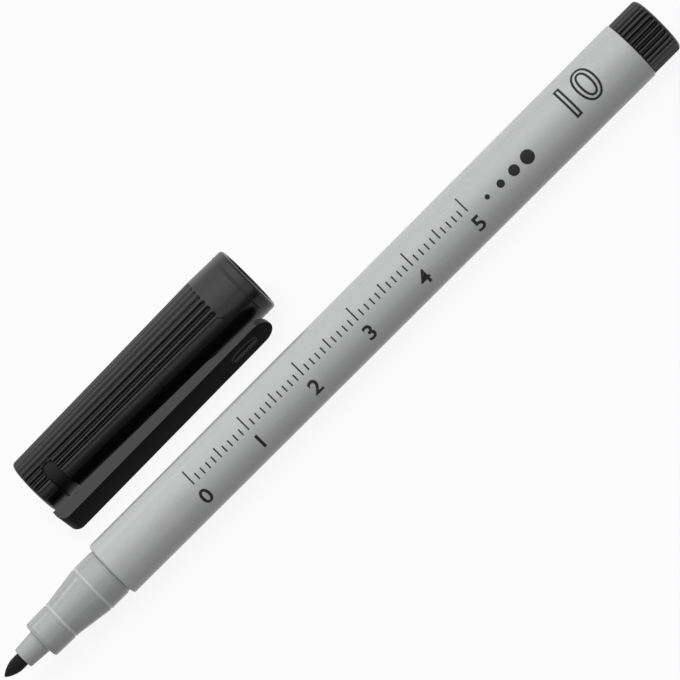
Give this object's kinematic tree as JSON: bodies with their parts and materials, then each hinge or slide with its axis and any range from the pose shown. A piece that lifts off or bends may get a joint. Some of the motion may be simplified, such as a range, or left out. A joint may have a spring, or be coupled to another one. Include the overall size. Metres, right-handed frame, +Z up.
{
  "type": "non-permanent marker",
  "caption": "Fibre-tip marker with a tapered barrel, stepped front section, bullet nib and ribbed end plug; its fluted cap with pocket clip is taken off and lies beside it.",
  "frame": {"origin": "on the table under the middle of the pen and its cap as they lie side by side", "axes": "+X along the pen from the nib to the end plug, +Y from the pen to the cap behind it, +Z up from the table"},
  "size_m": [0.1204, 0.032, 0.0106],
  "materials": {
    "barrel": "satin grey moulded polypropylene",
    "front_section": "smooth satin grey moulded polypropylene",
    "nib": "bonded fibre soaked with black ink",
    "ink_reservoir": "bundled fibre soaked with black ink",
    "reservoir_wrap": "thin clear film",
    "end_plug": "matt black moulded polypropylene",
    "cap": "matt black moulded polypropylene",
    "inner_cap": "smooth black moulded polypropylene"
  },
  "bodies": {
    "pen": {"barrel": "barrel", "front_section": "front_section", "nib": "nib", "ink_reservoir": "ink_reservoir", "reservoir_wrap": "reservoir_wrap", "end_plug": "end_plug"},
    "cap": {"cap_shell": "cap", "inner_cap": "inner_cap"},
    "clip": {"pocket_clip": "cap"}
  },
  "joints": [
    {"name": "cap_slide", "type": "slide", "parent": "pen", "child": "cap", "axis": [-1, 0, 0], "range_m": [0, 0.061]},
    {"name": "clip_flex", "type": "hinge", "parent": "cap", "child": "clip", "pos_m": [-0.0414, 0.00572, 0.00274], "axis": [0.0297, 0.3009, -0.9532], "range_deg": [0, 4], "stiffness_Nm_per_rad": 0.6}
  ]
}
